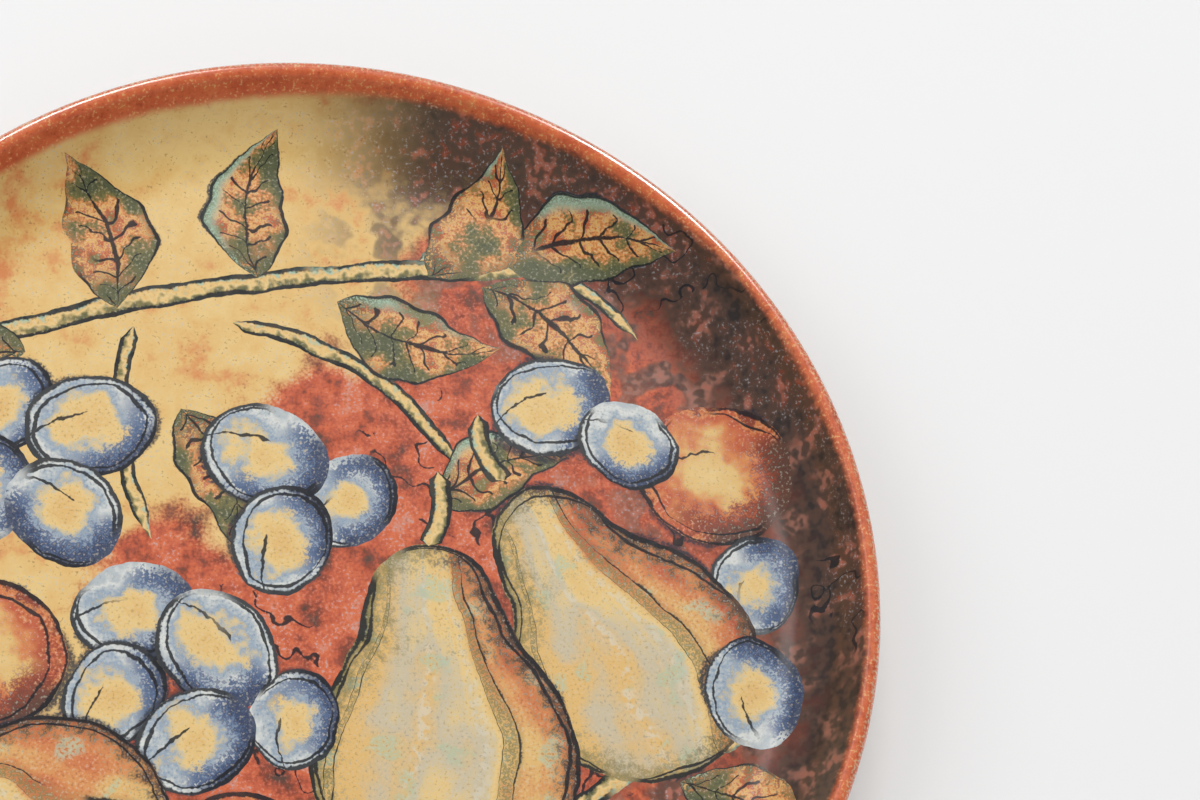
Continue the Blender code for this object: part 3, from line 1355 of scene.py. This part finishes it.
@dataclass
class PlateBody:
    """The turned body, made by Geometry Nodes."""

    section: PlateSection
    turn_steps: int = 240
    waver: float = 0.00028
    waver_size: float = 1.1
    seed: int = 7
    name: str = "painted_plate"

    def section_object(self) -> bpy.types.Object:
        """A mesh of the section's points, with their track as an attribute."""
        points = self.section.points()
        mesh = bpy.data.meshes.new("plate_section")
        mesh.from_pydata([(radius, 0.0, height) for radius, height in points], [], [])
        track = mesh.attributes.new("track", "FLOAT", "POINT")
        track.data.foreach_set("value", self.section.tracks().astype(np.float32))
        return bpy.data.objects.new("plate_section", mesh)

    def tree(self) -> bpy.types.NodeTree:
        """Tree that turns a section about Z and records the painting's position."""
        tree = bpy.data.node_groups.new("turn plate", "GeometryNodeTree")
        face = tree.interface
        for name, kind, value in (
            ("Section", "NodeSocketObject", None),
            ("Section Points", "NodeSocketInt", 100),
            ("Turn Steps", "NodeSocketInt", 64),
            ("Waver", "NodeSocketFloat", 0.0),
            ("Waver Size", "NodeSocketFloat", 1.0),
            ("Rim Radius", "NodeSocketFloat", 0.125),
            ("Seed", "NodeSocketInt", 0),
            ("Surface", "NodeSocketMaterial", None),
        ):
            socket = face.new_socket(name, in_out="INPUT", socket_type=kind)
            if value is not None:
                socket.default_value = value
        face.new_socket("Plate", in_out="OUTPUT", socket_type="NodeSocketGeometry")
        sheet = Sheet(tree)
        given = sheet.add("NodeGroupInput").outputs
        grid = sheet.add("GeometryNodeMeshGrid")
        sheet.feed(grid.inputs["Size X"], 1.0)
        sheet.feed(grid.inputs["Size Y"], 1.0)
        sheet.feed(grid.inputs["Vertices X"], sheet.number("ADD", given["Turn Steps"], 1.0))
        sheet.feed(grid.inputs["Vertices Y"], given["Section Points"])
        across, along = sheet.split(sheet.add("GeometryNodeInputPosition").outputs[0])
        angle = sheet.number("MULTIPLY", sheet.number("ADD", across, 0.5), math.tau)
        last = sheet.number("SUBTRACT", given["Section Points"], 1.0)
        index = sheet.number("ROUND", sheet.number("MULTIPLY", sheet.number("ADD", along, 0.5), last))
        section = sheet.add("GeometryNodeObjectInfo")
        sheet.feed(section.inputs["Object"], given["Section"])
        spots = sheet.add("GeometryNodeInputPosition").outputs[0]
        place = self.sample(sheet, section, "FLOAT_VECTOR", spots, index)
        named = sheet.add("GeometryNodeInputNamedAttribute", data_type="FLOAT")
        named.inputs["Name"].default_value = "track"
        track = self.sample(sheet, section, "FLOAT", named.outputs["Attribute"], index)
        radius, _ = sheet.split(place)
        height = sheet.height(place)
        way = sheet.join(sheet.number("COSINE", angle), sheet.number("SINE", angle))
        radius, height = self.wavered(sheet, given, way, radius, height)
        spot = sheet.vector("ADD", sheet.vector("SCALE", way, scale=radius), sheet.join(0.0, 0.0, height))
        tracked = self.store(sheet, grid.outputs["Mesh"], "track", "FLOAT", track)
        painting = sheet.vector("SCALE", way, scale=track)
        painted = self.store(sheet, tracked, "paint", "FLOAT_VECTOR", painting)
        shaped = sheet.add("GeometryNodeSetPosition")
        sheet.feed(shaped.inputs["Geometry"], painted)
        sheet.feed(shaped.inputs["Position"], spot)
        merged = sheet.add("GeometryNodeMergeByDistance")
        sheet.feed(merged.inputs["Geometry"], shaped.outputs[0])
        merged.inputs["Distance"].default_value = 1e-6
        smooth = sheet.add("GeometryNodeSetShadeSmooth")
        sheet.feed(smooth.inputs[0], merged.outputs[0])
        real = sheet.add("GeometryNodeRealizeInstances")
        sheet.feed(real.inputs[0], smooth.outputs[0])
        dressed = sheet.add("GeometryNodeSetMaterial")
        sheet.feed(dressed.inputs["Geometry"], real.outputs[0])
        sheet.feed(dressed.inputs["Material"], given["Surface"])
        sheet.feed(sheet.add("NodeGroupOutput").inputs["Plate"], dressed.outputs[0])
        return tree

    @staticmethod
    def sample(sheet: Sheet, section: bpy.types.Node, kind: str, value: Socket, index: Socket) -> Socket:
        """A value of the section's point with an index."""
        node = sheet.add("GeometryNodeSampleIndex", data_type=kind, domain="POINT")
        sheet.feed(node.inputs["Geometry"], section.outputs["Geometry"])
        sheet.feed(node.inputs["Value"], value)
        sheet.feed(node.inputs["Index"], index)
        return node.outputs["Value"]

    @staticmethod
    def store(sheet: Sheet, geometry: Socket, name: str, kind: str, value: Socket) -> Socket:
        """Keep a value on the points under a name."""
        node = sheet.add("GeometryNodeStoreNamedAttribute", data_type=kind, domain="POINT")
        sheet.feed(node.inputs["Geometry"], geometry)
        sheet.feed(node.inputs["Name"], name)
        sheet.feed(node.inputs["Value"], value)
        return node.outputs[0]

    @staticmethod
    def wavered(
        sheet: Sheet,
        given: bpy.types.bpy_prop_collection,
        way: Socket,
        radius: Socket,
        height: Socket,
    ) -> tuple[Socket, Socket]:
        """Radius and height with the slight unevenness of a hand-made rim.

        Args:
            sheet: The tree.
            given: The tree's inputs.
            way: The direction from the middle.
            radius: The even radius.
            height: The even height.

        Returns:
            The radius' and the height's sockets.
        """
        around = sheet.vector("SCALE", way, scale=given["Waver Size"])
        lifted = sheet.vector("ADD", around, sheet.join(0.0, 0.0, given["Seed"]))
        spots = sheet.add("ShaderNodeTexNoise", noise_dimensions="3D")
        sheet.feed(spots.inputs["Vector"], lifted)
        sheet.feed(spots.inputs["Scale"], 1.0)
        sheet.feed(spots.inputs["Detail"], 1.0)
        first, second = sheet.split(spots.outputs["Color"])
        share = sheet.number("DIVIDE", radius, given["Rim Radius"])
        strength = sheet.number("MULTIPLY", sheet.number("POWER", share, 6.0), given["Waver"])
        outward = sheet.number("MULTIPLY", sheet.number("SUBTRACT", first, 0.5), strength)
        upward = sheet.number("MULTIPLY", sheet.number("SUBTRACT", second, 0.5), strength)
        return sheet.number("ADD", radius, outward), sheet.number("ADD", height, upward)

    def build(self, materials: list[bpy.types.Material]) -> bpy.types.Object:
        """Turn the plate and return it as a plain mesh object.

        Args:
            materials: The surface of each slice of the face, and of the back last.

        Returns:
            The finished piece.
        """
        section = self.section_object()
        raw = bpy.data.objects.new("turning", bpy.data.meshes.new("turning"))
        bpy.context.scene.collection.objects.link(raw)
        bpy.context.scene.collection.objects.link(section)
        modifier = raw.modifiers.new("turn", "NODES")
        modifier.node_group = self.tree()
        values = {
            "Section": section,
            "Section Points": len(section.data.vertices),
            "Turn Steps": self.turn_steps,
            "Waver": self.waver,
            "Waver Size": self.waver_size,
            "Rim Radius": self.section.rim_radius,
            "Seed": self.seed,
            "Surface": materials[0],
        }
        for socket in modifier.node_group.interface.items_tree:
            if socket.in_out == "INPUT":
                modifier[socket.identifier] = values[socket.name]
        raw.update_tag()
        depsgraph = bpy.context.evaluated_depsgraph_get()
        mesh = bpy.data.meshes.new_from_object(raw.evaluated_get(depsgraph), depsgraph=depsgraph)
        for helper in (raw, section):
            bpy.data.objects.remove(helper, do_unlink=True)
        mesh.name = self.name
        self.face_outwards(mesh)
        self.unwrap(mesh)
        self.share_out(mesh, materials)
        body = bpy.data.objects.new(self.name, mesh)
        bpy.context.scene.collection.objects.link(body)
        return body

    @staticmethod
    def face_outwards(mesh: bpy.types.Mesh) -> None:
        """Turn the faces out if the grid came out inside out."""

        def off_middle(face: bpy.types.MeshPolygon) -> float:
            """How far a face lies from the middle of the well."""
            return 10 * math.hypot(face.center.x, face.center.y) - face.center.z

        if min(mesh.polygons, key=off_middle).normal.z < 0:
            mesh.flip_normals()

    def share_out(self, mesh: bpy.types.Mesh, materials: list[bpy.types.Material]) -> None:
        """Give each slice of the face its surface, and the back its own.

        Args:
            mesh: The plate.
            materials: The surface of each slice, and of the back last.
        """
        mesh.materials.clear()
        for material in materials:
            mesh.materials.append(material)
        edge = self.section.tracks()[self.section.lip_end()]
        tracks = mesh.attributes["track"].data
        for face in mesh.polygons:
            turn = math.atan2(face.center.y, face.center.x) % math.tau
            on_back = min(tracks[point].value for point in face.vertices) >= edge
            face.material_index = Slice.COUNT if on_back else int(turn / math.tau * Slice.COUNT)

    def unwrap(self, mesh: bpy.types.Mesh) -> None:
        """Lay the painted face out as one disc and the back as a small one."""
        tracks = np.zeros(len(mesh.vertices), np.float32)
        mesh.attributes["track"].data.foreach_get("value", tracks)
        places = np.zeros(len(mesh.vertices) * 3, np.float32)
        mesh.vertices.foreach_get("co", places)
        places = places.reshape(-1, 3)
        ways = places[:, :2] / np.maximum(np.linalg.norm(places[:, :2], axis=1), 1e-9)[:, None]
        section_tracks = self.section.tracks()
        seam = section_tracks[self.section.lip_end() + 8]
        whole = section_tracks[-1]
        corner = np.zeros(len(mesh.loops), np.int32)
        mesh.loops.foreach_get("vertex_index", corner)
        starts = np.zeros(len(mesh.polygons), np.int32)
        totals = np.zeros(len(mesh.polygons), np.int32)
        mesh.polygons.foreach_get("loop_start", starts)
        mesh.polygons.foreach_get("loop_total", totals)
        owner = np.repeat(np.arange(len(starts)), totals)
        farthest = np.maximum.reduceat(tracks[corner], starts)
        on_face = (farthest <= seam + 0.01)[owner]
        face_uv = 0.452 + ways[corner] * (tracks[corner] / seam * 0.448)[:, None]
        back_uv = 0.88 + ways[corner] * ((whole - tracks[corner]) / (whole - seam) * 0.115)[:, None]
        layer = mesh.uv_layers.new(name="OFBake")
        spots = np.where(on_face[:, None], face_uv, back_uv).astype(np.float32)
        layer.uv.foreach_set("vector", spots.ravel())


@dataclass
class Studio:
    """The pale floor, the soft lights and the camera."""

    rim_height: float
    floor_colour: Colour = paint(232, 232, 232)
    light: float = 0.56
    mirrored_low: float = 0.3
    mirrored_high: float = 0.14
    dim_from: float = 0.3
    dim_to: float = 0.75

    SOFTBOXES = (
        ("daylight", 80, 66, 2.2, (1.6, 1.2), 25.0, False),
        ("side_light", 170, 45, 1.8, (1.2, 1.0), 6.5, False),
        ("window_right", 61.5, 38, 1.6, (0.24, 0.62), 20.0, True),
        ("window_left", 103, 36, 1.6, (0.4, 0.5), 14.0, True),
        ("far_wall", 136, 58, 2.0, (0.8, 0.6), 3.0, True),
    )

    def floor(self) -> bpy.types.Object:
        """A plain pale floor."""
        mesh = bpy.data.meshes.new("floor")
        reach = 4.0
        corners = [(-reach, -reach, 0), (reach, -reach, 0), (reach, reach, 0), (-reach, reach, 0)]
        mesh.from_pydata(corners, [], [(0, 1, 2, 3)])
        floor = bpy.data.objects.new("floor", mesh)
        bpy.context.scene.collection.objects.link(floor)
        material = bpy.data.materials.new("floor")
        material.use_nodes = True
        shader = material.node_tree.nodes["Principled BSDF"]
        shader.inputs["Base Color"].default_value = self.floor_colour
        shader.inputs["Roughness"].default_value = 0.9
        shader.inputs["Specular IOR Level"].default_value = 0.1
        mesh.materials.append(material)
        return floor

    def world(self) -> None:
        """An even surround, whose mirror image in the glaze is dim and dimmest overhead."""
        world = bpy.data.worlds.new("surround")
        world.use_nodes = True
        sheet = Sheet(world.node_tree)
        height = sheet.height(sheet.add("ShaderNodeTexCoord").outputs["Generated"])
        mirrored = sheet.span(height, self.dim_from, self.dim_to, self.mirrored_low, self.mirrored_high)
        glossy = sheet.add("ShaderNodeLightPath").outputs["Is Glossy Ray"]
        background = world.node_tree.nodes["Background"]
        background.inputs["Color"].default_value = (0.985, 0.985, 0.99, 1.0)
        sheet.feed(background.inputs["Strength"], sheet.mix("FLOAT", glossy, self.light, mirrored))
        bpy.context.scene.world = world

    def softbox(
        self,
        name: str,
        azimuth: float,
        height: float,
        distance: float,
        size: Point2,
        power: float,
        mirrored: bool,
    ) -> None:
        """A soft area light that faces the plate.

        Args:
            name: The light's name.
            azimuth: Its direction from the plate, in degrees from +X.
            height: Its angle above the floor, in degrees.
            distance: How far it stands from the plate.
            size: Its width and height.
            power: Its power in watts.
            mirrored: Whether it is only seen in the glaze, or only lights what it meets.
        """
        data = bpy.data.lights.new(name, "AREA")
        data.shape = "RECTANGLE"
        data.size, data.size_y = size
        data.energy = power
        light = bpy.data.objects.new(name, data)
        light.visible_glossy = mirrored
        light.visible_diffuse = not mirrored
        turn, rise = math.radians(azimuth), math.radians(height)
        way = Vector((math.cos(turn) * math.cos(rise), math.sin(turn) * math.cos(rise), math.sin(rise)))
        light.location = way * distance
        light.rotation_euler = way.to_track_quat("Z", "Y").to_euler()
        bpy.context.scene.collection.objects.link(light)

    def camera(self) -> None:
        """The photograph's camera, which looks down on the plate from its near left."""
        distance, height, turn, roll = 0.6143, 63.677, 24.493, 24.493
        offset = (-0.05953, -0.03457)
        azimuth, rise, tilt = math.radians(turn), math.radians(height), math.radians(roll)
        level_way = (math.sin(azimuth) * math.cos(rise), math.cos(azimuth) * math.cos(rise))
        ahead = Vector((*level_way, -math.sin(rise)))
        level = Vector((math.cos(azimuth), -math.sin(azimuth), 0.0))
        above = level.cross(ahead)
        right = math.cos(tilt) * level + math.sin(tilt) * above
        up = -math.sin(tilt) * level + math.cos(tilt) * above
        place = Vector((0.0, 0.0, self.rim_height)) - distance * ahead - offset[0] * right - offset[1] * up
        data = bpy.data.cameras.new("camera")
        data.lens = 85.0
        data.sensor_width = 36.0
        camera = bpy.data.objects.new("camera", data)
        axes = Matrix((right, up, -ahead)).transposed().to_4x4()
        camera.matrix_world = Matrix.Translation(place) @ axes
        bpy.context.scene.collection.objects.link(camera)
        bpy.context.scene.camera = camera

    def build(self) -> None:
        """Set up the floor, the surround, the lights and the camera."""
        self.floor()
        self.world()
        for softbox in self.SOFTBOXES:
            self.softbox(*softbox)
        self.camera()
        bpy.context.scene.view_settings.view_transform = "Standard"


def main() -> None:
    """Build the plate and its surroundings."""
    logging.basicConfig(level=logging.INFO, format="%(name)s: %(message)s")
    low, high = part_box("plate")
    section = PlateSection(rim_radius=(high[0] - low[0]) / 2, rim_height=high[2])
    materials = Painting().materials()
    LOG.info("painting: %d marks over %d slices", len(composition()), Slice.COUNT)
    plate = PlateBody(section).build(materials)
    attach(plate, "root")
    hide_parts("plate")
    LOG.info("%s: %d faces", plate.name, len(plate.data.polygons))
    Studio(section.rim_height).build()


if __name__ == "__main__":
    main()
